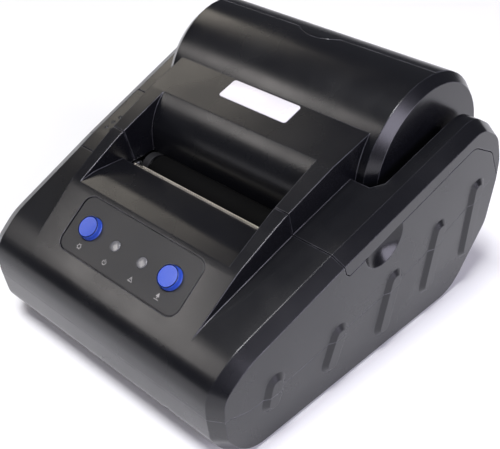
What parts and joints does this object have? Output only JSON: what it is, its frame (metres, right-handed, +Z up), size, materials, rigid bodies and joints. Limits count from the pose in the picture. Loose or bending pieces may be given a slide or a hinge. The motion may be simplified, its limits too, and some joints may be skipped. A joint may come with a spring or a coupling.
{
  "type": "thermal receipt printer",
  "caption": "Desktop receipt printer with a drum-shaped roll cover, serrated tear bar, sloped key panel with two blue keys and an opening lid.",
  "frame": {"origin": "on the ground under the middle of the outline", "axes": "+X to the printer's right seen from the front, +Y to the rear, +Z up; the front faces -Y"},
  "size_m": [0.1384, 0.1464, 0.0916],
  "materials": {
    "case_black": "satin",
    "frame_grey": "matte",
    "steel": "bright",
    "dark_metal": "dark",
    "label_white": "bare white, satin",
    "plate_grey": "satin",
    "key_blue": "satin",
    "window_grey": "unlit",
    "board_green": "satin",
    "part_black": "moulded",
    "lamp_clear": "clear",
    "bar_steel": "stamped",
    "sheet_steel": "zinc-plated",
    "sink_aluminium": "cast",
    "head_ceramic": "glazed ceramic",
    "roller_rubber": "ground",
    "gear_plastic": "natural",
    "motor_steel": "plated",
    "pinion_brass": "machined",
    "cradle_black": "fine texture",
    "port_steel": "plated",
    "foot_rubber": "moulded"
  },
  "bodies": {
    "case": {"lower_case": "case_black", "upper_case": "case_black", "hinge_pins": "steel", "release_spring": "steel", "latch_pin": "steel", "latch_spring": "steel", "control_plate": "plate_grey", "power_light": "window_grey", "error_light": "window_grey", "key_board": "board_green", "tact_switches": "part_black", "panel_lamps": "lamp_clear", "tear_bar": "bar_steel", "mechanism_frame": "sheet_steel", "head_pin": "steel", "head_springs": "steel", "reduction_axle": "steel", "stepper_motor": "motor_steel", "motor_screws": "steel", "paper_cradle": "cradle_black", "paper_sensor": "part_black", "main_board": "board_green", "power_inlet": "part_black", "usb_port": "port_steel", "drawer_port": "part_black", "switch_housing": "part_black", "rubber_feet": "foot_rubber", "case_screws": "steel", "frame_screws": "steel", "board_screws": "steel"},
    "lid": {"lid_shell": "case_black", "drum_panel": "case_black", "lid_frame": "frame_grey", "platen_bushings": "part_black", "label_badge": "label_white"},
    "platen": {"platen_roller": "roller_rubber", "platen_shaft": "steel", "platen_gear": "gear_plastic"},
    "reduction": {"reduction_gear": "gear_plastic"},
    "pinion": {"motor_pinion": "pinion_brass"},
    "head": {"heat_sink": "sink_aluminium", "print_head": "head_ceramic"},
    "release": {"release_button": "case_black"},
    "latch": {"latch_hook": "dark_metal"},
    "set_key": {"set_button": "key_blue"},
    "feed_key": {"feed_button": "key_blue"},
    "rocker": {"switch_rocker": "part_black"}
  },
  "joints": [
    {"name": "lid_hinge", "type": "hinge", "parent": "case", "child": "lid", "pos_m": [0, 0.0708, 0.0478], "axis": [-1, 0, 0], "range_deg": [0, 80]},
    {"name": "platen_spin", "type": "hinge", "parent": "lid", "child": "platen", "pos_m": [0, -0.0127, 0.0482], "axis": [1, 0, 0], "continuous": true},
    {"name": "reduction_spin", "type": "hinge", "parent": "case", "child": "reduction", "pos_m": [0, -0.0127, 0.0387], "axis": [1, 0, 0], "continuous": true},
    {"name": "pinion_spin", "type": "hinge", "parent": "case", "child": "pinion", "pos_m": [0, -0.0061, 0.02727], "axis": [1, 0, 0], "continuous": true},
    {"name": "head_pivot", "type": "hinge", "parent": "case", "child": "head", "pos_m": [0, -0.02195, 0.0312], "axis": [1, 0, 0], "range_deg": [0, 0.8], "stiffness_Nm_per_rad": 1, "springref_deg": -1.72},
    {"name": "release_slide", "type": "slide", "parent": "case", "child": "release", "axis": [0, 0, -1], "range_m": [0, 0.002], "stiffness_N_per_m": 400, "springref_m": -0.001, "deforming": ["release_spring"]},
    {"name": "latch_pivot", "type": "hinge", "parent": "case", "child": "latch", "pos_m": [0, -0.0072, 0.0312], "axis": [-1, 0, 0], "range_deg": [0, 12], "stiffness_Nm_per_rad": 0.02, "springref_deg": -5.73},
    {"name": "set_key_slide", "type": "slide", "parent": "case", "child": "set_key", "axis": [0, 0.5821, -0.8131], "range_m": [0, 0.0006], "stiffness_N_per_m": 500, "springref_m": -0.0004},
    {"name": "feed_key_slide", "type": "slide", "parent": "case", "child": "feed_key", "axis": [0, 0.5821, -0.8131], "range_m": [0, 0.0006], "stiffness_N_per_m": 500, "springref_m": -0.0004},
    {"name": "power_rocker", "type": "hinge", "parent": "case", "child": "rocker", "pos_m": [-0.036, 0.0677, 0.0344], "axis": [0, 0, 1], "range_deg": [0, 18]}
  ],
  "couplings": [
    {"joint": "reduction_spin", "follows": "platen_spin", "ratio": -1.375},
    {"joint": "pinion_spin", "follows": "platen_spin", "ratio": 4.2969},
    {"joint": "latch_pivot", "follows": "release_slide", "rad_per_m": 104.72}
  ]
}
